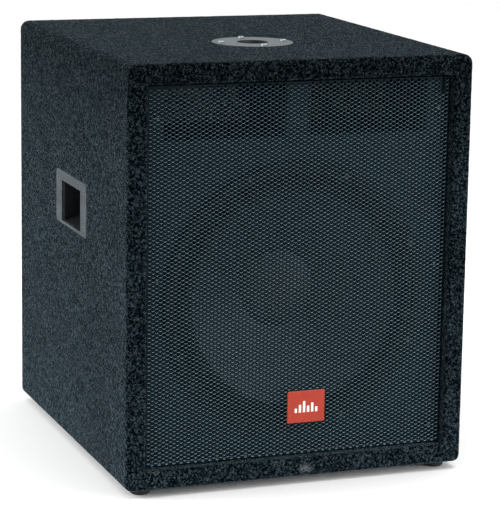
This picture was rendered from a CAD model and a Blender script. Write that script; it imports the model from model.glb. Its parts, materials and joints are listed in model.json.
import json
import math

import bmesh
import bpy
import numpy as np
from mathutils import Matrix, Vector, noise


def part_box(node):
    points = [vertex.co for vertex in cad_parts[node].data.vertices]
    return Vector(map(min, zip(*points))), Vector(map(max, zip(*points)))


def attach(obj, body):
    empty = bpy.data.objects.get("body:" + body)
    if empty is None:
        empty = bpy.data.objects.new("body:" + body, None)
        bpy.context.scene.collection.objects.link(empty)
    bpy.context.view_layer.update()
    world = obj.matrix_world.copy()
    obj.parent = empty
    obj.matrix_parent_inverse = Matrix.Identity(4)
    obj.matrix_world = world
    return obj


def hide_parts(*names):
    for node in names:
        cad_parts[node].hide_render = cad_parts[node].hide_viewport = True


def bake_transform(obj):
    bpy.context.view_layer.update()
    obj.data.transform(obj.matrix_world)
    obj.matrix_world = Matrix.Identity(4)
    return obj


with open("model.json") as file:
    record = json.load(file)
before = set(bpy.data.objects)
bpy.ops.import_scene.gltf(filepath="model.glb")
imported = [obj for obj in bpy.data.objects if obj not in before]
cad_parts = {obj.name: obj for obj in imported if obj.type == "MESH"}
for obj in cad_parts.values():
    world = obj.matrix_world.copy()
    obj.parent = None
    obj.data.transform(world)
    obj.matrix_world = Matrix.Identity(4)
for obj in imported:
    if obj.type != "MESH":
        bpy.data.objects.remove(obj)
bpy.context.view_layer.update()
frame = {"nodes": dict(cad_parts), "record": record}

# Sizes in metres, in the frame shared with the CAD model. What that model already fixes is read
# from its nodes.
MM = 0.001
CARPET = 3.5 * MM
LIP_THICKNESS = 28 * MM
TOP_EDGE_RADIUS = 13 * MM
BOTTOM_EDGE_RADIUS = 10 * MM
FACE_EDGE_RADIUS = 7 * MM
LIP_EDGE_RADIUS = 4.5 * MM
CARPET_STEP = 4.5 * MM  # spacing of the carpet mesh's points
BEND_STEPS = 6  # mesh steps round each rounded edge
LEAST_CORNER = 0.6 * MM  # the smallest radius at the recess's corners
CARPET_WAVE = 0.35 * MM  # how far the pile rises and falls
WAVE_LAYERS = ((160.0, 0.6), (420.0, 0.4))  # (waves per metre, share of the height)
SURFACE_MARGIN = 1 * MM  # how near a point is to a face to count as lying in it
FLANGE_COVER = 6 * MM  # how far a handle's flange overlaps the carpet round its cutout
DISH_GAP = 0.3 * MM  # between the back carpet and the terminal dish

FIBRE_COUNT = 60000
FIBRE_LENGTH = 4.5 * MM
FIBRE_WIDTH = 0.28 * MM
FIBRE_SINK = 0.15 * MM  # how deep a fibre's root lies in the carpet
FIBRE_STOPS = (0.0, 0.35, 0.7, 1.0)  # where along its length a fibre has points
FIBRE_SEED = 11

SCUFF = (12 * MM, -275 * MM, 21 * MM)  # pale rubbed spot on the bottom lip

HOLE_PITCH_X = 5.22 * MM
HOLE_PITCH_Z = 5.70 * MM
HOLE_RADIUS = 2.4 * MM
HOLE_RIM = 0.28 * MM  # rounding of the punched edge
CELL_SIDES = 6
HOLE_SIDES = 2 * CELL_SIDES
SHEET = 1.5 * MM
SHEET_BEND = 1.8 * MM
SLOT_LEFT = 207 * MM
SLOT_WIDTH = 5 * MM
SLOT_LENGTH = 24 * MM
SLOT_BORDER = 0.42  # plain metal beside the slot, as a share of the holes' pitch
SLOT_PROUD = 0.02 * MM  # how far that metal stands off the sheet

BAR_HEIGHTS = (6.0, 11.0, 16.0, 9.0, 13.0, 7.0)  # of the badge's bars, in mm
BAR_WIDTH = 3.4 * MM
BAR_GAP = 2.7 * MM
BAR_DEPTH = 0.25 * MM
BAR_BEVEL = 0.12 * MM
BAR_ROOT = 0.05 * MM  # how far the bars are let into the badge
BAR_DROP = 8 * MM  # from the badge's middle down to the bars' feet

SURROUND_THICKNESS = 1 * MM
SURROUND_LIP = 7.5 * MM  # overlap glued to the cone's face
SURROUND_LIP_END = 0.5 * MM
SURROUND_LEAN = 0.2 * MM
SURROUND_RIM = 7.7 * MM  # flat rim glued to the frame
ROLL_HEIGHT = 3.5 * MM
ROLL_COUNT = 2
ROLL_STEPS = 10
SPIDER_RIM = 6 * MM
SPIDER_WAVES = 3
SPIDER_STEPS = 60
SPIDER_HEIGHT = 2.7 * MM
SPIDER_THICKNESS = 0.6 * MM

LEAD_RADIUS = 0.9 * MM
LEAD_SIDES = 10
LEAD_STEPS = 12  # steps between each two points of a lead's route
# Each lead's route in its box: how far along to the cone, and how far it bows to the back
LEAD_ROUTE = ((0.0, 0.36), (0.39, 1.0), (0.83, 0.79), (1.0, 0.0))

PAD_THICKNESS = 25 * MM
PAD_CUTS = 24
PAD_ROUNDING = 0.09
PAD_FIT = 0.97  # the pad's size as a share of its box
PAD_SWELL = 28.0  # waves per metre in the pad's faces

PAINT_END = -90 * MM  # the bare plywood is painted black ahead of this depth
POLE_MOUTH_RADIUS = 23.2 * MM
HANDLE_FLANGE_DEPTH = 5 * MM

CAMERA_PLACE = (-1.1697, -3.1849, 0.9852)
CAMERA_LENS = 164.6
CAMERA_YAW, CAMERA_PITCH, CAMERA_ROLL = 0.359474, 0.207997, 0.016123  # in radians
FLOOR_HALF = 30.0


# Small mesh helpers


def new_object(name, verts, faces, body="cabinet", smooth=True):
    """A mesh object that rides on a body."""
    mesh = bpy.data.meshes.new(name)
    mesh.from_pydata([tuple(v) for v in verts], [], [tuple(f) for f in faces])
    mesh.validate()
    mesh.update()
    mesh.polygons.foreach_set("use_smooth", [smooth] * len(mesh.polygons))
    obj = bpy.data.objects.new(name, mesh)
    bpy.context.scene.collection.objects.link(obj)
    if body:
        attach(obj, body)
    return obj


def grid_faces(rows, columns, close_columns=False, close_rows=False, flip=False):
    """Quads between the points of a grid, numbered row by row."""
    faces = []
    for i in range(rows if close_rows else rows - 1):
        for j in range(columns if close_columns else columns - 1):
            a = i * columns + j
            b = i * columns + (j + 1) % columns
            c = ((i + 1) % rows) * columns + (j + 1) % columns
            d = ((i + 1) % rows) * columns + j
            faces.append((d, c, b, a) if flip else (a, b, c, d))
    return faces


def set_material(name, mat):
    """Gives a CAD node one material."""
    obj = frame["nodes"][name]
    obj.data.materials.clear()
    obj.data.materials.append(mat)


# Node-material helpers


class Shader:
    """A material whose nodes are added one by one; its textures are laid out in metres."""

    def __init__(self, name, **constants):
        self.mat = bpy.data.materials.new(name)
        self.mat.use_nodes = True
        self.tree = self.mat.node_tree
        self.bsdf = self.tree.nodes["Principled BSDF"]
        self.coords = self.tree.nodes.new("ShaderNodeTexCoord").outputs["Object"]
        for socket, value in constants.items():
            self.bsdf.inputs[socket.replace("_", " ")].default_value = value

    def node(self, kind, **settings):
        made = self.tree.nodes.new("ShaderNode" + kind)
        for key, value in settings.items():
            setattr(made, key, value)
        return made

    def link(self, source, target):
        self.tree.links.new(source, target)

    def stretch(self, scale, turn=(0, 0, 0)):
        """Texture coordinates turned and scaled differently along each axis."""
        mapping = self.node("Mapping")
        mapping.inputs["Scale"].default_value = scale
        mapping.inputs["Rotation"].default_value = turn
        self.link(self.coords, mapping.inputs["Vector"])
        return mapping.outputs["Vector"]

    def noise(self, scale, detail=2.0, roughness=0.5, coords=None, distortion=0.0):
        made = self.node("TexNoise")
        made.inputs["Scale"].default_value = scale
        made.inputs["Detail"].default_value = detail
        made.inputs["Roughness"].default_value = roughness
        made.inputs["Distortion"].default_value = distortion
        self.link(coords or self.coords, made.inputs["Vector"])
        return made.outputs["Fac"]

    def cells(self, scale, output="Distance"):
        made = self.node("TexVoronoi")
        made.inputs["Scale"].default_value = scale
        self.link(self.coords, made.inputs["Vector"])
        return made.outputs[output]

    def ramp(self, value, *stops):
        """A colour ramp; each stop is (position, colour or grey level)."""
        made = self.node("ValToRGB")
        elements = made.color_ramp.elements
        while len(elements) < len(stops):
            elements.new(0.5)
        for element, (position, colour) in zip(elements, stops):
            element.position = position
            level = colour if hasattr(colour, "__len__") else (colour,) * 3
            element.color = (*level, 1.0)
        self.link(value, made.inputs["Fac"])
        return made.outputs["Color"]

    def math(self, operation, a, b=0.0):
        made = self.node("Math", operation=operation)
        for socket, value in zip(made.inputs, (a, b)):
            if hasattr(value, "links"):
                self.link(value, socket)
            else:
                socket.default_value = value
        return made.outputs["Value"]

    def mix(self, amount, a, b, blend="MIX"):
        """Mixes two colours by an amount from 0 to 1."""
        made = self.node("Mix", data_type="RGBA", blend_type=blend)
        for index, value in ((0, amount), (6, a), (7, b)):
            if hasattr(value, "links"):
                self.link(value, made.inputs[index])
            elif index == 0:
                made.inputs[index].default_value = value
            else:
                made.inputs[index].default_value = (*value, 1.0)
        return made.outputs[2]

    def bump(self, height, distance, strength=1.0):
        made = self.node("Bump")
        made.inputs["Distance"].default_value = distance
        made.inputs["Strength"].default_value = strength
        self.link(height, made.inputs["Height"])
        self.link(made.outputs["Normal"], self.bsdf.inputs["Normal"])

    def colour(self, source):
        self.link(source, self.bsdf.inputs["Base Color"])

    def roughness(self, value, low, high):
        """Roughness that varies between two levels."""
        made = self.node("MapRange")
        made.inputs["To Min"].default_value = low
        made.inputs["To Max"].default_value = high
        self.link(value, made.inputs["Value"])
        self.link(made.outputs["Result"], self.bsdf.inputs["Roughness"])


# Materials


def carpet_material():
    """Needle-punched charcoal speaker carpet: matted clumps of fibre, pale flecks and slight wear."""
    s = Shader("carpet", Roughness=0.95, Sheen_Roughness=0.32)
    s.bsdf.inputs["Sheen Tint"].default_value = (0.6, 0.84, 1.0, 1.0)
    s.bsdf.inputs["Specular IOR Level"].default_value = 0.0
    clumps = s.noise(290.0, 2.0, 0.6, distortion=0.3)
    fibres = s.noise(640.0, 2.0, 0.65, distortion=1.0)
    pile = s.math("ADD", s.math("MULTIPLY", clumps, 0.6), s.math("MULTIPLY", fibres, 0.4))
    body = s.ramp(
        pile,
        (0.41, (0.0002, 0.0010, 0.0018)),
        (0.48, (0.0014, 0.0042, 0.0064)),
        (0.53, (0.0066, 0.0132, 0.0175)),
        (0.61, (0.0420, 0.0570, 0.0660)),
    )
    patches = s.ramp(s.noise(11.0, 3.0, 0.55), (0.3, 0.75), (0.7, 1.25))
    body = s.mix(1.0, body, patches, "MULTIPLY")
    separate = s.node("SeparateXYZ")
    s.link(s.coords, separate.inputs["Vector"])
    dusty = s.ramp(separate.outputs["Z"], (0.01, 1.0), (0.10, 0.80), (0.45, 0.60), (0.575, 0.34))
    body = s.mix(1.0, body, dusty, "MULTIPLY")
    fleck_shape = s.cells(95.0)
    fleck_pick = s.cells(95.0, output="Color")
    rare = s.math("GREATER_THAN", fleck_pick, 0.93)
    fleck = s.math("MULTIPLY", s.math("LESS_THAN", fleck_shape, 0.07), rare)
    body = s.mix(fleck, body, (0.10, 0.12, 0.125))
    distance = s.node("VectorMath", operation="DISTANCE")
    s.link(s.coords, distance.inputs[0])
    distance.inputs[1].default_value = SCUFF
    ragged = s.math("ADD", distance.outputs["Value"], s.math("MULTIPLY", s.noise(110.0, 3.0, 0.7), 26 * MM))
    spot = s.ramp(ragged, (0.014, 0.9), (0.023, 0.0))
    rubbed = s.math("MULTIPLY", spot, s.ramp(fibres, (0.42, 0.1), (0.56, 1.0)))
    body = s.mix(rubbed, body, (0.16, 0.18, 0.19))
    s.colour(body)
    s.roughness(clumps, 0.88, 1.0)
    s.link(s.math("MULTIPLY", s.ramp(pile, (0.42, 0.09), (0.6, 0.27)), dusty), s.bsdf.inputs["Sheen Weight"])
    s.bump(pile, 1.6 * MM, 1.0)
    return s.mat


def fibre_material():
    """The loose fibres that stand off the carpet."""
    s = Shader("carpet_fibre", Roughness=0.8, Sheen_Weight=0.3)
    tone = s.noise(700.0, 1.0)
    dark, middle, pale = (0.006, 0.010, 0.013), (0.024, 0.032, 0.038), (0.10, 0.115, 0.12)
    s.colour(s.ramp(tone, (0.35, dark), (0.6, middle), (0.74, pale)))
    return s.mat


def powder_coat_material(name, base, low=0.32, high=0.5, shine=0.5):
    """Black powder coat over steel, with its fine orange peel."""
    s = Shader(name, Roughness=0.4)
    s.bsdf.inputs["Specular IOR Level"].default_value = shine
    s.bsdf.inputs["Specular Tint"].default_value = (0.62, 0.85, 1.0, 1.0)
    grain = s.noise(900.0, 2.0)
    drift = s.noise(14.0, 3.0)
    dark = tuple(c * 0.75 for c in base)
    s.colour(s.mix(drift, dark, base))
    s.roughness(drift, low, high)
    s.bump(grain, 0.12 * MM, 0.35)
    return s.mat


def grille_material():
    """Black enamel on punched steel: dull on the flat, brighter on the rolled lower edges of the holes."""
    s = Shader("grille_steel", Roughness=0.4)
    s.bsdf.inputs["Specular IOR Level"].default_value = 0.1
    s.bsdf.inputs["Specular Tint"].default_value = (0.55, 0.85, 1.0, 1.0)
    separate = s.node("SeparateXYZ")
    s.link(s.node("NewGeometry").outputs["True Normal"], separate.inputs["Vector"])
    place = s.node("SeparateXYZ")
    s.link(s.coords, place.inputs["Vector"])
    below_fold = s.math("LESS_THAN", place.outputs["Z"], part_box("grille_panel")[1].z - 2 * SHEET_BEND)
    up = s.math("MULTIPLY", s.math("MAXIMUM", separate.outputs["Z"], 0.0), below_fold)
    worn = s.math("POWER", up, 1.7)
    drift = s.noise(14.0, 3.0)
    flat = s.mix(drift, (0.0008, 0.0030, 0.0055), (0.0018, 0.0050, 0.0080))
    s.colour(s.mix(worn, flat, (0.36, 0.58, 0.69)))
    s.roughness(drift, 0.3, 0.45)
    s.bump(s.noise(900.0, 2.0), 0.1 * MM, 0.3)
    return s.mat


def plastic_material(name, base):
    """Moulded plastic with a fine spark-eroded texture."""
    s = Shader(name, Roughness=0.5)
    drift = s.noise(22.0, 4.0)
    scuffs = s.noise(60.0, 4.0, 0.7, s.stretch((1.0, 0.15, 1.0), (0.3, 0.4, 0.2)))
    lighter = tuple(min(1.0, c * 1.25) for c in base)
    s.colour(s.mix(s.ramp(scuffs, (0.45, 0.0), (0.75, 0.7)), base, lighter))
    s.roughness(drift, 0.42, 0.58)
    s.bump(s.noise(1500.0, 2.0), 0.1 * MM, 0.4)
    return s.mat


def plywood_material(name, light, dark, bare=True):
    """Birch plywood with its grain along Z; its front end, in and round the ports, is painted black."""
    s = Shader(name, Roughness=0.7)
    s.bsdf.inputs["Specular IOR Level"].default_value = 0.12
    grain = s.noise(38.0, 5.0, 0.62, s.stretch((1.0, 1.0, 0.06)), distortion=0.8)
    fine = s.noise(420.0, 2.0, 0.5, s.stretch((1.0, 1.0, 0.05)))
    wood = s.ramp(grain, (0.3, dark), (0.7, light))
    if bare:
        separate = s.node("SeparateXYZ")
        s.link(s.coords, separate.inputs["Vector"])
        ragged = s.math("ADD", separate.outputs["Y"], s.math("MULTIPLY", grain, 8 * MM))
        painted = s.math("LESS_THAN", ragged, PAINT_END)
        wood = s.mix(painted, wood, (0.0006, 0.0014, 0.0020))
    s.colour(wood)
    s.roughness(fine, 0.6, 0.85)
    s.bump(s.math("ADD", grain, fine), 0.25 * MM, 0.35)
    return s.mat


def cone_material(name):
    """Pressed black paper pulp with faint felted mottling, and dust where it faces up."""
    s = Shader(name, Roughness=0.6)
    s.bsdf.inputs["Specular IOR Level"].default_value = 0.3
    felt = s.noise(260.0, 4.0, 0.7)
    pulp = s.ramp(felt, (0.3, (0.003, 0.0055, 0.0075)), (0.75, (0.008, 0.013, 0.0165)))
    separate = s.node("SeparateXYZ")
    s.link(s.node("NewGeometry").outputs["Normal"], separate.inputs["Vector"])
    tilt = s.math("ADD", separate.outputs["Z"], s.math("MULTIPLY", separate.outputs["X"], 0.5))
    settled = s.math("POWER", s.math("MAXIMUM", tilt, 0.0), 1.6)
    dust = s.math("MULTIPLY", settled, s.ramp(s.noise(24.0, 4.0, 0.6), (0.3, 0.7), (0.7, 1.0)))
    s.colour(s.mix(dust, pulp, (0.066, 0.094, 0.115)))
    s.roughness(felt, 0.48, 0.66)
    s.bump(felt, 0.5 * MM, 0.45)
    return s.mat


def cloth_material(name, dark, light, scale=900.0, rough=0.8):
    """Plain woven cloth under a coat of dope."""
    s = Shader(name, Roughness=rough, Sheen_Weight=0.05)
    s.bsdf.inputs["Specular IOR Level"].default_value = 0.15
    warp = s.noise(scale, 1.0, 0.5, s.stretch((1.0, 0.25, 0.25)))
    weft = s.noise(scale, 1.0, 0.5, s.stretch((0.25, 0.25, 1.0)))
    weave = s.math("MAXIMUM", warp, weft)
    s.colour(s.ramp(weave, (0.4, dark), (0.7, light)))
    s.roughness(weave, rough - 0.12, rough + 0.1)
    s.bump(weave, 0.3 * MM, 0.5)
    return s.mat


def metal_material(name, base, low, high, metallic=1.0):
    """Plated or painted metal with handling marks."""
    s = Shader(name, Metallic=metallic, Roughness=0.4)
    marks = s.noise(160.0, 5.0, 0.7)
    drift = s.noise(30.0, 2.0)
    s.colour(s.mix(drift, tuple(c * 0.8 for c in base), base))
    s.roughness(marks, low, high)
    s.bump(marks, 0.08 * MM, 0.3)
    return s.mat


def pole_socket_material(centre, mouth_radius, face):
    """Grey painted flange; the tube inside the mouth is black."""
    s = Shader("pole_socket", Roughness=0.45)
    s.bsdf.inputs["Specular IOR Level"].default_value = 0.15
    place = s.node("VectorMath", operation="SUBTRACT")
    s.link(s.coords, place.inputs[0])
    place.inputs[1].default_value = (centre[0], centre[1], 0.0)
    separate = s.node("SeparateXYZ")
    s.link(place.outputs["Vector"], separate.inputs["Vector"])
    across = s.math("MULTIPLY", separate.outputs["X"], separate.outputs["X"])
    along = s.math("MULTIPLY", separate.outputs["Y"], separate.outputs["Y"])
    radius = s.math("SQRT", s.math("ADD", across, along))
    inside = s.math("LESS_THAN", radius, mouth_radius)
    below = s.math("LESS_THAN", separate.outputs["Z"], face - 0.3 * MM)
    black = s.math("MULTIPLY", inside, below)
    brushed = s.noise(90.0, 4.0, 0.7)
    marks = s.noise(420.0, 3.0, 0.7)
    grey = s.mix(brushed, (0.040, 0.052, 0.060), (0.068, 0.084, 0.094))
    s.colour(s.mix(black, grey, (0.002, 0.0025, 0.003)))
    s.roughness(marks, 0.35, 0.55)
    s.bump(marks, 0.08 * MM, 0.3)
    return s.mat


def rubber_material(name, base=(0.018, 0.019, 0.02)):
    """Moulded rubber, slightly dusty."""
    s = Shader(name, Roughness=0.75)
    s.bsdf.inputs["Specular IOR Level"].default_value = 0.2
    dust = s.noise(120.0, 5.0, 0.65)
    s.colour(s.mix(s.ramp(dust, (0.45, 0.0), (0.8, 0.5)), base, tuple(c * 2.6 for c in base)))
    s.roughness(dust, 0.62, 0.88)
    s.bump(s.noise(1400.0, 2.0), 0.12 * MM, 0.4)
    return s.mat


def enamel_material():
    """Red enamelled badge plate."""
    s = Shader("red_badge", Roughness=0.3, Coat_Weight=0.1, Coat_Roughness=0.12)
    s.bsdf.inputs["Specular IOR Level"].default_value = 0.3
    drift = s.noise(45.0, 3.0)
    s.colour(s.mix(drift, (0.30, 0.019, 0.005), (0.37, 0.028, 0.007)))
    s.roughness(s.noise(300.0, 3.0), 0.24, 0.4)
    s.bump(s.noise(600.0, 2.0), 0.05 * MM, 0.2)
    return s.mat


def wadding_material():
    """White polyester wadding."""
    s = Shader("wadding", Roughness=0.95, Sheen_Weight=0.4)
    fluff = s.noise(140.0, 5.0, 0.7, distortion=1.2)
    s.colour(s.ramp(fluff, (0.3, (0.48, 0.48, 0.45)), (0.7, (0.82, 0.82, 0.79))))
    s.roughness(fluff, 0.85, 1.0)
    s.bump(fluff, 4 * MM, 0.8)
    return s.mat


def coil_material():
    """Enamelled copper wire wound in turns."""
    s = Shader("copper", Metallic=1.0, Roughness=0.35)
    turns = s.node("TexWave", bands_direction="Z")
    turns.inputs["Scale"].default_value = 220.0
    turns.inputs["Distortion"].default_value = 0.6
    s.link(s.coords, turns.inputs["Vector"])
    s.colour(s.ramp(turns.outputs["Fac"], (0.2, (0.25, 0.08, 0.03)), (0.8, (0.78, 0.34, 0.16))))
    s.roughness(s.noise(500.0, 2.0), 0.28, 0.45)
    s.bump(turns.outputs["Fac"], 0.3 * MM, 0.6)
    return s.mat


def pole_centre():
    """Middle of the pole socket, seen from above."""
    low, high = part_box("pole_socket")
    return (low.x + high.x) / 2, (low.y + high.y) / 2


def handle_material():
    """Grey moulded flange; the pocket behind it is darker with handling grime."""
    s = Shader("handle_plastic", Roughness=0.55)
    s.bsdf.inputs["Specular IOR Level"].default_value = 0.15
    separate = s.node("SeparateXYZ")
    s.link(s.coords, separate.inputs["Vector"])
    depth = s.math("ABSOLUTE", separate.outputs["X"])
    inside = s.math("LESS_THAN", depth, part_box("handle_right")[1].x - HANDLE_FLANGE_DEPTH)
    scuffs = s.noise(60.0, 4.0, 0.7, s.stretch((1.0, 0.15, 1.0), (0.3, 0.4, 0.2)))
    grey = s.mix(s.ramp(scuffs, (0.4, 0.0), (0.7, 1.0)), (0.018, 0.026, 0.032), (0.036, 0.047, 0.055))
    s.colour(s.mix(inside, grey, (0.0045, 0.0060, 0.0070)))
    s.roughness(s.noise(22.0, 4.0), 0.45, 0.62)
    s.bump(s.noise(1500.0, 2.0), 0.1 * MM, 0.4)
    return s.mat


MATERIALS = {
    "plywood": plywood_material("plywood", (0.66, 0.50, 0.33), (0.42, 0.29, 0.17)),
    "black_baffle": plywood_material(
        "black_baffle", (0.0105, 0.0195, 0.0250), (0.0075, 0.0145, 0.0190), bare=False
    ),
    "carpet": carpet_material(),
    "fibre": fibre_material(),
    "black_steel": powder_coat_material("black_steel", (0.012, 0.016, 0.019)),
    "grille_steel": grille_material(),
    "basket_steel": powder_coat_material("basket_steel", (0.005, 0.0075, 0.009), 0.4, 0.6, 0.2),
    "foam": rubber_material("foam", (0.012, 0.012, 0.013)),
    "zinc_steel": metal_material("zinc_steel", (0.36, 0.39, 0.41), 0.3, 0.55),
    "black_rubber": rubber_material("black_rubber"),
    "red_badge": enamel_material(),
    "grey_gasket": rubber_material("grey_gasket", (0.0012, 0.0022, 0.0028)),
    "surround_cloth": cloth_material(
        "surround_cloth", (0.0008, 0.0014, 0.0018), (0.0026, 0.0038, 0.0046), rough=0.6
    ),
    "paper_cone": cone_material("paper_cone"),
    "dust_cap": cone_material("dust_cap"),
    "former_film": plastic_material("former_film", (0.5, 0.34, 0.12)),
    "copper": coil_material(),
    "spider_cloth": cloth_material("spider_cloth", (0.34, 0.24, 0.1), (0.6, 0.46, 0.22), 700.0),
    "ferrite": rubber_material("ferrite", (0.05, 0.05, 0.052)),
    "terminal_plastic": plastic_material("terminal_plastic", (0.05, 0.035, 0.025)),
    "black_screw": metal_material("black_screw", (0.05, 0.05, 0.052), 0.35, 0.55, 0.6),
    "socket_metal": pole_socket_material(pole_centre(), POLE_MOUTH_RADIUS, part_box("pole_socket")[1].z),
    "grey_plastic": handle_material(),
    "black_plastic": plastic_material("black_plastic", (0.02, 0.021, 0.022)),
    "circuit_board": plastic_material("circuit_board", (0.02, 0.16, 0.05)),
    "capacitor_film": plastic_material("capacitor_film", (0.5, 0.34, 0.08)),
    "red_lead": rubber_material("red_lead", (0.4, 0.02, 0.02)),
    "black_lead": rubber_material("black_lead", (0.014, 0.014, 0.014)),
    "wadding": wadding_material(),
}


def dress_cad_nodes():
    """Every CAD node takes the material of its slot in the record."""
    for part in frame["record"]["subparts"]:
        node, slot = part["node"], part["material_slot"]
        key = "basket_steel" if node == "woofer_frame" else slot
        set_material(node, MATERIALS[key])


# Carpet


def arc(centre, radius, start, end, steps):
    """Points on an arc in the plane; angles in degrees."""
    angles = [math.radians(start + (end - start) * i / steps) for i in range(steps + 1)]
    return [(centre[0] + radius * math.cos(a), centre[1] + radius * math.sin(a)) for a in angles]


def spread(start, end, step):
    """Evenly spaced values from start to end, both included, no further apart than step."""
    count = max(1, math.ceil(abs(end - start) / step))
    return [start + (end - start) * i / count for i in range(count + 1)]


def carpet_stations(y_front, y_back, recess_back, seam):
    """(depth y, inset from the outer face) from the recess's inner end, over the lip, to the back seam."""
    lip = LIP_THICKNESS
    r_in, r_out = LIP_EDGE_RADIUS, FACE_EDGE_RADIUS
    stations = [(y, lip) for y in spread(recess_back, y_front + r_in, CARPET_STEP)[:-1]]
    stations += [(y, inset) for inset, y in arc((lip - r_in, y_front + r_in), r_in, 0, -90, BEND_STEPS)]
    stations += [(y_front, inset) for inset in spread(lip - r_in, r_out, CARPET_STEP)[1:-1]]
    stations += [(y, inset) for inset, y in arc((r_out, y_front + r_out), r_out, -90, -180, BEND_STEPS)]
    stations += [(y, 0.0) for y in spread(y_front + r_out, y_back - r_out, CARPET_STEP)[1:-1]]
    stations += [(y, inset) for inset, y in arc((r_out, y_back - r_out), r_out, 180, 90, BEND_STEPS)]
    stations += [(y_back, inset) for inset in spread(r_out, seam, CARPET_STEP)[1:]]
    return stations


def ring_points(half_x, low, high, top_radius, bottom_radius, counts):
    """Points round a rectangle with rounded corners, anticlockwise from the front, always the same number."""
    across, up, corner = counts
    points = []

    def side(start, end, count):
        for i in range(count):
            t = i / count
            points.append((start[0] + (end[0] - start[0]) * t, start[1] + (end[1] - start[1]) * t))

    def bend(cx, cz, radius, start):
        for i in range(corner):
            angle = math.radians(start + 90.0 * i / corner)
            points.append((cx + radius * math.cos(angle), cz + radius * math.sin(angle)))

    rt, rb = top_radius, bottom_radius
    side((half_x, low + rb), (half_x, high - rt), up)
    bend(half_x - rt, high - rt, rt, 0)
    side((half_x - rt, high), (-half_x + rt, high), across)
    bend(-half_x + rt, high - rt, rt, 90)
    side((-half_x, high - rt), (-half_x, low + rb), up)
    bend(-half_x + rb, low + rb, rb, 180)
    side((-half_x + rb, low), (half_x - rb, low), across)
    bend(half_x - rb, low + rb, rb, 270)
    return points


def in_rectangle(a, b, low, high, margin):
    """Whether a point is inside a rectangle by more than the margin."""
    return low[0] + margin < a < high[0] - margin and low[1] + margin < b < high[1] - margin


def build_carpet_cover():
    """One continuous skin round the cabinet, turned into the recess in front and onto the back."""
    low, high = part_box("carpet_cover")
    half_x = high.x
    recess_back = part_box("front_baffle")[0].y
    seam = half_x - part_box("carpet_back")[1].x
    stations = carpet_stations(low.y, high.y, recess_back, seam)
    counts = (round(2 * half_x / CARPET_STEP), round((high.z - low.z) / CARPET_STEP), BEND_STEPS)
    verts = []
    for y, inset in stations:
        top_radius = max(TOP_EDGE_RADIUS - inset, LEAST_CORNER)
        bottom_radius = max(BOTTOM_EDGE_RADIUS - inset, LEAST_CORNER)
        ring = ring_points(half_x - inset, low.z + inset, high.z - inset, top_radius, bottom_radius, counts)
        verts += [Vector((x, y, z)) for x, z in ring]
    faces = grid_faces(len(stations), len(ring), close_columns=True, flip=True)

    handle_low, handle_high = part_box("handle_right")
    hole_low, hole_high = (handle_low.y, handle_low.z), (handle_high.y, handle_high.z)
    pole = pole_centre()
    pole_low, pole_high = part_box("pole_socket")
    pole_radius = (pole_high.x - pole_low.x) / 2

    def covered(v):
        if abs(v.x) > half_x - SURFACE_MARGIN and in_rectangle(v.y, v.z, hole_low, hole_high, FLANGE_COVER):
            return True
        on_top = v.z > high.z - SURFACE_MARGIN
        return on_top and math.hypot(v.x - pole[0], v.y - pole[1]) < pole_radius

    hidden = [covered(v) for v in verts]
    faces = [f for f in faces if not all(hidden[i] for i in f)]
    obj = new_object("carpet_wrap", verts, faces, body=None)
    rough_up(obj, CARPET_WAVE)
    finish_carpet(obj)
    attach(obj, "cabinet")
    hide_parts("carpet_cover")
    return obj


def rough_up(obj, height):
    """Moves each point along its normal by layered noise, never further out than the height."""
    normals = [v.normal.copy() for v in obj.data.vertices]
    for v, n in zip(obj.data.vertices, normals):
        wave = sum(noise.noise(v.co * scale) * share for scale, share in WAVE_LAYERS)
        v.co += n * (wave - 0.5) * height


def finish_carpet(obj):
    """Gives the skin its thickness and material, and drops loose points."""
    mesh = bmesh.new()
    mesh.from_mesh(obj.data)
    loose = [v for v in mesh.verts if not v.link_faces]
    bmesh.ops.delete(mesh, geom=loose, context="VERTS")
    mesh.to_mesh(obj.data)
    mesh.free()
    obj.data.materials.append(MATERIALS["carpet"])
    thick = obj.modifiers.new("thickness", "SOLIDIFY")
    thick.thickness = CARPET * 0.9
    thick.offset = -1.0


def build_carpet_back():
    """The separate sheet on the back, cut round the terminal dish."""
    low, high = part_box("carpet_back")
    dish_low, dish_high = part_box("terminal_dish")
    left, right = dish_low.x - DISH_GAP, dish_high.x + DISH_GAP
    bottom, top = dish_low.z - DISH_GAP, dish_high.z + DISH_GAP
    xs = spread_through(low.x, left, right, high.x)
    zs = spread_through(low.z, bottom, top, high.z)
    verts = [Vector((x, high.y, z)) for z in zs for x in xs]
    columns = len(xs)
    faces = []
    for i in range(len(zs) - 1):
        for j in range(columns - 1):
            middle_x, middle_z = (xs[j] + xs[j + 1]) / 2, (zs[i] + zs[i + 1]) / 2
            if left < middle_x < right and bottom < middle_z < top:
                continue
            a = i * columns + j
            faces.append((a, a + columns, a + columns + 1, a + 1))
    obj = new_object("carpet_rear_sheet", verts, faces, body=None)
    rough_up(obj, CARPET_WAVE)
    finish_carpet(obj)
    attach(obj, "cabinet")
    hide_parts("carpet_back")


def spread_through(*stops):
    """Evenly spaced values from each stop to the next, as one list that includes every stop."""
    values = [stops[0]]
    for start, end in zip(stops, stops[1:]):
        values += spread(start, end, CARPET_STEP)[1:]
    return values


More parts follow.
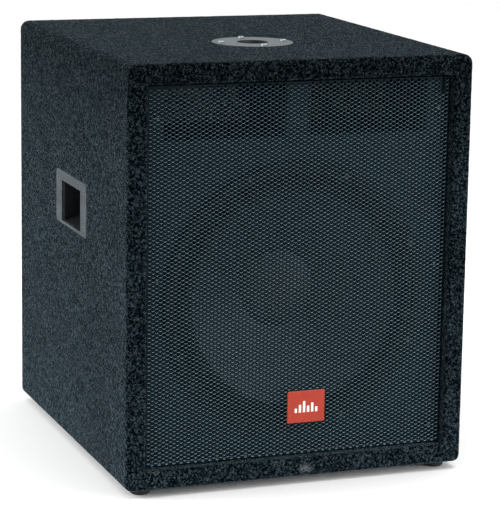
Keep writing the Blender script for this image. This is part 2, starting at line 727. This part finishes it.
def build_fibres(skin):
    """Loose curved fibres rooted on a carpet skin, as thin folded strips."""
    mesh = skin.data
    mesh.calc_loop_triangles()
    triangles = np.array([t.vertices for t in mesh.loop_triangles])
    points = np.array([v.co for v in mesh.vertices])
    a, b, c = points[triangles[:, 0]], points[triangles[:, 1]], points[triangles[:, 2]]
    cross = np.cross(b - a, c - a)
    area = np.linalg.norm(cross, axis=1)
    rng = np.random.default_rng(FIBRE_SEED)
    count = FIBRE_COUNT
    pick = rng.choice(len(triangles), size=count, p=area / area.sum())
    u, v = rng.random(count), rng.random(count)
    over = u + v > 1
    u[over], v[over] = 1 - u[over], 1 - v[over]
    root = a[pick] + (b - a)[pick] * u[:, None] + (c - a)[pick] * v[:, None]
    normal = cross[pick] / area[pick][:, None]
    lean = rng.normal(size=(count, 3))
    lean -= normal * (lean * normal).sum(axis=1)[:, None]
    lean /= np.linalg.norm(lean, axis=1)[:, None]
    side = np.cross(normal, lean)
    reach = FIBRE_LENGTH * (0.4 + 0.8 * rng.random(count))[:, None]
    rise = reach * (0.05 + 0.13 * rng.random(count))[:, None]
    bow = reach * rng.normal(scale=0.18, size=(count, 1))
    half = FIBRE_WIDTH / 2 * (0.6 + 0.8 * rng.random(count))[:, None]
    sink = normal * FIBRE_SINK
    rings = []
    for t in FIBRE_STOPS:
        arch = math.sin(math.pi * min(1.0, 0.15 + t * 0.85))
        middle = root - sink + lean * reach * t + normal * rise * arch + side * bow * t * t
        thin = half * (1.0 - 0.6 * t)
        rings += [middle - side * thin, middle + side * thin]
    verts = np.stack(rings, axis=1).reshape(-1, 3)
    faces = []
    for first in range(0, len(verts), len(rings)):
        for q in range(first, first + len(rings) - 2, 2):
            faces.append((q, q + 1, q + 3, q + 2))
    obj = new_object("carpet_fibres", verts, faces)
    obj.data.materials.append(MATERIALS["fibre"])


# Grille


def lattice_corner(a, b):
    """Where the hexagonal cells of a staggered lattice meet, measured across from a hole's centre."""
    return a / 2 - b * b / (8 * a)


def cell_outline(near_x, far_x, pitch_z):
    """Corners of the cell round a hole, measured from the hole's centre."""
    corners = ((far_x, 0.0), (near_x, 0.5), (-near_x, 0.5), (-far_x, 0.0), (-near_x, -0.5), (near_x, -0.5))
    return [(x, z * pitch_z) for x, z in corners]


def hole_circle(corners):
    """Points round a hole's edge: one toward each corner of its cell and one halfway to the next."""
    angles = []
    for (x, z), (next_x, next_z) in zip(corners, corners[1:] + corners[:1]):
        here, after = math.atan2(z, x), math.atan2(next_z, next_x)
        if after < here:
            after += 2 * math.pi
        angles += [here, (here + after) / 2]
    return [(HOLE_RADIUS * math.cos(t), HOLE_RADIUS * math.sin(t)) for t in angles]


def add_cell(point, faces, x, z, cell, circle, front):
    """One hole and the metal round it: both faces of the sheet, the rounded rim and the wall."""
    back = front + SHEET
    rim_scale = 1 + HOLE_RIM / HOLE_RADIUS

    def ring(scale, y):
        return [point(x + across * scale, y, z + up * scale) for across, up in circle]

    for y, scale, flip in ((front, rim_scale, False), (back, 1.0, True)):
        outer = [point(px, y, pz) for px, pz in cell]
        edge = ring(scale, y)
        for i in range(CELL_SIDES):
            a, b = outer[i], outer[(i + 1) % CELL_SIDES]
            p, q, r = edge[2 * i], edge[2 * i + 1], edge[(2 * i + 2) % HOLE_SIDES]
            for face in ((a, b, r, q), (a, q, p)):
                faces.append(face[::-1] if flip else face)
    outside, mouth, rear = ring(rim_scale, front), ring(1.0, front + HOLE_RIM), ring(1.0, back)
    for i in range(HOLE_SIDES):
        j = (i + 1) % HOLE_SIDES
        faces.append((outside[i], outside[j], mouth[j], mouth[i]))
        faces.append((mouth[i], mouth[j], rear[j], rear[i]))


def build_grille():
    """Perforated steel sheet with folded-back edges and a relief slot at its top right corner."""
    low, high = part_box("grille_panel")
    front = low.y
    flat_left, flat_right = low.x + SHEET_BEND, high.x - SHEET_BEND
    flat_low, flat_high = low.z + SHEET_BEND, high.z - SHEET_BEND
    width, height = flat_right - flat_left, flat_high - flat_low
    near = lattice_corner(HOLE_PITCH_X, HOLE_PITCH_Z) / HOLE_PITCH_X
    columns = round(width / HOLE_PITCH_X - 2 * (1 - near) + 1)
    pitch_x = width / (columns - 1 + 2 * (1 - near))
    rows = round(height / HOLE_PITCH_Z - 0.5)
    pitch_z = height / (rows + 0.5)
    near_x, far_x = near * pitch_x, (1 - near) * pitch_x
    corners = cell_outline(near_x, far_x, pitch_z)
    circle = hole_circle(corners)
    slot_right = SLOT_LEFT + SLOT_WIDTH
    slot_low = high.z - SLOT_LENGTH
    verts, index, faces = [], {}, []

    def point(x, y, z):
        key = (round(x * 1e6), round(y * 1e6), round(z * 1e6))
        if key not in index:
            index[key] = len(verts)
            verts.append((x, y, z))
        return index[key]

    def in_slot(x, z):
        return SLOT_LEFT < x < slot_right and z > slot_low

    for column in range(columns):
        x = flat_left + far_x + column * pitch_x
        starts_high = column % 2 == 0

        def beside(across):
            """A place across from the column's middle, moved out to the sheet's side at either end."""
            if column == 0 and across < 0:
                return flat_left
            if column == columns - 1 and across > 0:
                return flat_right
            return x + across

        for row in range(rows):
            z = flat_low + (row + 0.5 + (0.5 if starts_high else 0.0)) * pitch_z
            if in_slot(x, z):
                continue
            cell = [(beside(across), z + up) for across, up in corners]
            add_cell(point, faces, x, z, cell, circle, front)

        # A plain strip fills the half cell that is left at one end of the column.
        z_edge = flat_low if starts_high else flat_high
        z_cell = flat_low + 0.5 * pitch_z if starts_high else flat_high - 0.5 * pitch_z
        if in_slot(x, z_edge - SURFACE_MARGIN):
            continue
        outline = ((-far_x, z_edge), (far_x, z_edge), (near_x, z_cell), (-near_x, z_cell))
        for y, flip in ((front, False), (front + SHEET, True)):
            strip = [point(beside(across), y, z) for across, z in outline]
            faces.append(strip[::-1] if flip == starts_high else strip)

    add_grille_returns(point, faces, low, high, slot_right)
    add_slot_frame(point, faces, front, slot_right, slot_low, flat_high, pitch_x)
    obj = new_object("grille_mesh", verts, faces, smooth=False)
    obj.data.materials.append(MATERIALS["grille_steel"])
    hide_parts("grille_panel")


def return_profile(low, high):
    """(inset, y) round the folded edge's section, from the sheet's front face round to its back face."""
    front, back = low.y, high.y
    outer = arc((SHEET_BEND, front + SHEET_BEND), SHEET_BEND, -90, -180, 5)
    inner_radius = SHEET_BEND - SHEET
    inner = arc((SHEET_BEND, front + SHEET_BEND), inner_radius, -180, -90, 3)
    return outer + [(0.0, back), (SHEET, back)] + inner


def add_grille_returns(point, faces, low, high, slot_right):
    """The four folded edges; the top one is parted by the slot."""
    profile = return_profile(low, high)

    def corner(right, top):
        """The fold's place at one corner of the sheet, for an inset from its outline."""

        def place(inset):
            x = high.x - inset if right else low.x + inset
            z = high.z - inset if top else low.z + inset
            return x, z

        return place

    def top_edge(x):
        return lambda inset: (x, high.z - inset)

    def strip(*ends):
        first, second = [[point(end(inset)[0], y, end(inset)[1]) for inset, y in profile] for end in ends]
        for i in range(len(profile) - 1):
            faces.append((first[i], second[i], second[i + 1], first[i + 1]))

    strip(corner(True, False), corner(False, False))
    strip(corner(False, False), corner(False, True))
    strip(corner(False, True), top_edge(SLOT_LEFT))
    strip(top_edge(slot_right), corner(True, True))
    strip(corner(True, True), corner(True, False))


def add_slot_frame(point, faces, front, slot_right, slot_low, flat_high, pitch_x):
    """Plain metal beside the slot, which squares off the holes that the slot cuts through."""
    margin = pitch_x * SLOT_BORDER
    for left, right in ((SLOT_LEFT - margin, SLOT_LEFT), (slot_right, slot_right + margin)):
        outline = ((left, slot_low), (right, slot_low), (right, flat_high), (left, flat_high))
        front_ring = [point(x, front - SLOT_PROUD, z) for x, z in outline]
        back_ring = [point(x, front + SHEET + SLOT_PROUD, z) for x, z in outline]
        faces.append(tuple(front_ring))
        faces.append(tuple(back_ring[::-1]))
        for i in range(4):
            j = (i + 1) % 4
            faces.append((front_ring[j], front_ring[i], back_ring[i], back_ring[j]))


# Badge


def build_badge_mark():
    """A generic mark of upright bars, like a level meter, raised on the badge."""
    low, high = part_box("grille_badge")
    middle_x, middle_z = (low.x + high.x) / 2, (low.z + high.z) / 2
    count = len(BAR_HEIGHTS)
    start = middle_x - (count * BAR_WIDTH + (count - 1) * BAR_GAP) / 2
    foot = middle_z - BAR_DROP
    layers = ((low.y + BAR_ROOT, 0.0), (low.y - BAR_DEPTH + BAR_BEVEL, 0.0), (low.y - BAR_DEPTH, BAR_BEVEL))
    signs = ((1, 1), (-1, 1), (-1, -1), (1, -1))
    verts, faces = [], []
    for i, height in enumerate(BAR_HEIGHTS):
        left = start + i * (BAR_WIDTH + BAR_GAP)
        right, top = left + BAR_WIDTH, foot + height * MM
        outline = ((left, foot), (right, foot), (right, top), (left, top))
        base = len(verts)
        for y, inset in layers:
            verts += [(x + sx * inset, y, z + sz * inset) for (x, z), (sx, sz) in zip(outline, signs)]
        faces += [tuple(base + v for v in face) for face in grid_faces(len(layers), 4, close_columns=True)]
        faces.append((base + 8, base + 9, base + 10, base + 11))
    mark = new_object("badge_mark", verts, faces, smooth=False)
    s = Shader("white_enamel", Roughness=0.35)
    s.colour(s.mix(s.noise(80.0, 3.0), (0.78, 0.74, 0.70), (0.88, 0.86, 0.83)))
    s.roughness(s.noise(400.0, 2.0), 0.3, 0.45)
    mark.data.materials.append(s.mat)


# Woofer soft parts, which stretch between the frame and the cone


def turned_mesh(name, outline, centre, segments, material):
    """A surface turned about the woofer's axis from an outline of (radius, y)."""
    verts = []
    for r, y in outline:
        for k in range(segments):
            t = 2 * math.pi * k / segments
            verts.append((centre[0] + r * math.cos(t), y, centre[1] + r * math.sin(t)))
    faces = grid_faces(len(outline), segments, close_columns=True, close_rows=True)
    obj = new_object(name, verts, faces, body=None)
    obj.data.materials.append(material)
    return obj


def follow_cone(obj, outer, inner):
    """The piece's points follow the cabinet outside one radius and the cone inside another."""
    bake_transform(obj)


def offset_outline(centreline, thickness):
    """Closes an open line of (radius, y) into an outline with that thickness along y."""
    return centreline + [(r, y + thickness) for r, y in reversed(centreline)]


def build_surround(centre):
    """Two soft rolls between the cone's lip and the frame."""
    flange_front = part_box("woofer_frame")[0].y
    cone_low, cone_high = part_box("woofer_cone")
    cone_front, cone_radius = cone_low.y, (cone_high.x - cone_low.x) / 2
    thickness = SURROUND_THICKNESS
    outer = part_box("woofer_surround")[1].x - centre[0]
    roll_start, roll_end = cone_radius + thickness, outer - SURROUND_RIM
    line = [
        (cone_radius - SURROUND_LIP, cone_front - thickness),
        (cone_radius - SURROUND_LIP_END, cone_front - thickness),
        (roll_start - SURROUND_LEAN, cone_front - 2.5 * thickness),
        (roll_start, flange_front - thickness),
    ]
    width = (roll_end - roll_start) / ROLL_COUNT
    for k in range(ROLL_COUNT):
        for i in range(1, ROLL_STEPS + 1):
            t = i / ROLL_STEPS
            rise = ROLL_HEIGHT * math.sin(math.pi * t) ** 0.8 if i < ROLL_STEPS else 0.0
            line.append((roll_start + width * (k + t), flange_front - thickness - rise))
    line.append((outer - 0.3 * MM, flange_front - thickness))
    outline = offset_outline(line, thickness * 0.96)
    obj = turned_mesh("surround_rolls", outline, centre, 160, MATERIALS["surround_cloth"])
    follow_cone(obj, roll_end, roll_start)
    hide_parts("woofer_surround")


def build_spider(centre):
    """Corrugated disc between the former and the basket's ledge."""
    low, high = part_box("woofer_spider")
    former_low, former_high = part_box("voice_coil_former")
    former = (former_high.x - former_low.x) / 2
    outer = high.x - centre[0]
    end = outer - SPIDER_RIM
    front = (low.y + high.y) / 2 - SPIDER_THICKNESS / 2
    line = []
    for i in range(SPIDER_STEPS + 1):
        t = i / SPIDER_STEPS
        wave = SPIDER_HEIGHT * math.sin(2 * math.pi * SPIDER_WAVES * t)
        line.append((former + (end - former) * t, front + wave))
    line.append((outer, front))
    outline = offset_outline(line, SPIDER_THICKNESS)
    obj = turned_mesh("spider_corrugations", outline, centre, 120, MATERIALS["spider_cloth"])
    follow_cone(obj, end, former + 1 * MM)
    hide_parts("woofer_spider")


def build_leads(centre):
    """Braided leads that bow backward between the basket's terminals and the cone."""
    low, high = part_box("tinsel_leads")
    half = (high.x - low.x) / 2 - LEAD_RADIUS
    start, end = low.z + LEAD_RADIUS, high.z - LEAD_RADIUS
    front, back = low.y + LEAD_RADIUS, high.y - LEAD_RADIUS
    route = []
    for along, bow in LEAD_ROUTE:
        route.append(Vector((0.0, front + (back - front) * bow, start + (end - start) * along)))
    line = smooth_line(route, LEAD_STEPS)
    last = (len(line) - 1) * LEAD_SIDES
    skin = grid_faces(len(line), LEAD_SIDES, close_columns=True)
    skin.append(tuple(range(LEAD_SIDES)))
    skin.append(tuple(range(last, last + LEAD_SIDES))[::-1])
    across = Vector((1.0, 0.0, 0.0))
    verts, faces = [], []
    for side in (-1, 1):
        middle = Vector((centre[0] + side * half, 0.0, 0.0))
        faces += [tuple(len(verts) + v for v in face) for face in skin]
        for i, p in enumerate(line):
            ahead = (line[min(i + 1, len(line) - 1)] - line[max(i - 1, 0)]).normalized()
            up = ahead.cross(across)
            for k in range(LEAD_SIDES):
                t = 2 * math.pi * k / LEAD_SIDES
                rim = (across * math.cos(t) + up * math.sin(t)) * LEAD_RADIUS
                verts.append(middle + p + rim)
    obj = new_object("tinsel_lead_braids", verts, faces, body=None)
    obj.data.materials.append(MATERIALS["copper"])
    follow_cone(obj, centre[1] - start, centre[1] - end)
    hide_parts("tinsel_leads")


def smooth_line(points, steps):
    """A smooth curve through the points, with that many steps between each two."""
    ends = [points[0] * 2 - points[1]] + points + [points[-1] * 2 - points[-2]]
    line = []
    for a, b, c, d in zip(ends, ends[1:], ends[2:], ends[3:]):
        for i in range(steps):
            t = i / steps
            bend = (a * 2 - b * 5 + c * 4 - d) * t**2
            twist = (b * 3 - a - c * 3 + d) * t**3
            line.append((b * 2 + (c - a) * t + bend + twist) / 2)
    return line + [points[-1]]


# Wadding


def build_wadding():
    """Soft pads with rounded, uneven faces in place of the plain blocks."""
    low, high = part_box("damping_pad_back")
    back = wadding_pad("damping_pad_back_pad", low, high)
    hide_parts("damping_pad_back")
    low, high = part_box("damping_pads_sides")
    left = wadding_pad("damping_pads_sides_left", low, Vector((low.x + PAD_THICKNESS, high.y, high.z)))
    right = wadding_pad("damping_pads_sides_right", Vector((high.x - PAD_THICKNESS, low.y, low.z)), high)
    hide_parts("damping_pads_sides")


def wadding_pad(name, low, high):
    """One pad: a box of rounded section whose faces swell and dip."""
    size = high - low
    middle = (low + high) / 2
    thin = min(range(3), key=lambda k: size[k])
    mesh = bmesh.new()
    bmesh.ops.create_cube(mesh, size=1.0)
    bmesh.ops.subdivide_edges(mesh, edges=mesh.edges[:], cuts=PAD_CUTS, use_grid_fill=True)
    for v in mesh.verts:
        unit = v.co * 2
        round_off = 1.0 - PAD_ROUNDING * (abs(unit.x) ** 8 + abs(unit.y) ** 8 + abs(unit.z) ** 8 - 1.0) / 2
        p = Vector((v.co.x * size.x, v.co.y * size.y, v.co.z * size.z)) * min(1.0, round_off) * PAD_FIT
        p[thin] *= 0.86 + 0.12 * noise.noise(p * PAD_SWELL)
        v.co = middle + p
    data = bpy.data.meshes.new(name)
    mesh.to_mesh(data)
    mesh.free()
    data.polygons.foreach_set("use_smooth", [True] * len(data.polygons))
    obj = bpy.data.objects.new(name, data)
    bpy.context.scene.collection.objects.link(obj)
    obj.data.materials.append(MATERIALS["wadding"])
    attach(obj, "cabinet")
    return obj


# Camera, light and floor


def make_camera():
    """The photograph's viewpoint: a long lens, left of and above the cabinet."""
    data = bpy.data.cameras.new("camera")
    data.sensor_width = 36.0
    data.lens = CAMERA_LENS
    data.clip_end = 50.0
    camera = bpy.data.objects.new("camera", data)
    bpy.context.scene.collection.objects.link(camera)
    yaw, pitch, roll = CAMERA_YAW, CAMERA_PITCH, CAMERA_ROLL
    forward = Vector((math.sin(yaw) * math.cos(pitch), math.cos(yaw) * math.cos(pitch), -math.sin(pitch)))
    right = Vector((math.cos(yaw), -math.sin(yaw), 0.0))
    up = right.cross(forward)
    tilted_right = right * math.cos(roll) + up * math.sin(roll)
    tilted_up = -right * math.sin(roll) + up * math.cos(roll)
    turn = Matrix((tilted_right, tilted_up, -forward)).transposed()
    camera.matrix_world = Matrix.Translation(CAMERA_PLACE) @ turn.to_4x4()
    bpy.context.scene.camera = camera


def area_light(name, place, target, size, power, colour=(1.0, 1.0, 1.0)):
    """A square soft light aimed at a point."""
    data = bpy.data.lights.new(name, "AREA")
    data.size = size
    data.energy = power
    data.color = colour
    lamp = bpy.data.objects.new(name, data)
    bpy.context.scene.collection.objects.link(lamp)
    lamp.location = place
    lamp.rotation_mode = "QUATERNION"
    lamp.rotation_quaternion = (Vector(target) - Vector(place)).to_track_quat("-Z", "Y")


def make_studio():
    """Pale floor, soft key from the upper right in front, and fill from the left and above."""
    half = FLOOR_HALF
    floor = new_object("floor", [(-half, -half, 0), (half, -half, 0), (half, half, 0), (-half, half, 0)],
                       [(0, 1, 2, 3)], body=None, smooth=False)
    s = Shader("floor_paper", Roughness=0.9)
    s.colour(s.mix(s.noise(3.0, 3.0), (0.93, 0.93, 0.93), (0.95, 0.95, 0.95)))
    floor.data.materials.append(s.mat)
    world = bpy.data.worlds.new("studio")
    world.use_nodes = True
    background = world.node_tree.nodes["Background"]
    background.inputs["Color"].default_value = (1.0, 1.0, 1.0, 1.0)
    background.inputs["Strength"].default_value = 1.05
    bpy.context.scene.world = world
    bpy.context.scene.view_settings.view_transform = "Standard"
    area_light("overhead", (0.75, -0.60, 2.4), (0.0, -0.15, 0.4), 1.2, 20.0)
    area_light("left", (-2.8, 0.4, 1.4), (-0.2, 0.0, 0.3), 1.5, 70.0)
    area_light("front_right", (1.5, -1.35, 0.3), (0.0, -0.25, 0.2), 0.5, 16.0)


make_camera()
make_studio()
dress_cad_nodes()
cover = build_carpet_cover()
build_carpet_back()
build_grille()
build_badge_mark()
frame_low, frame_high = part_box("woofer_frame")
woofer_axis = ((frame_low.x + frame_high.x) / 2, (frame_low.z + frame_high.z) / 2)
build_surround(woofer_axis)
build_spider(woofer_axis)
build_leads(woofer_axis)
build_wadding()
build_fibres(cover)
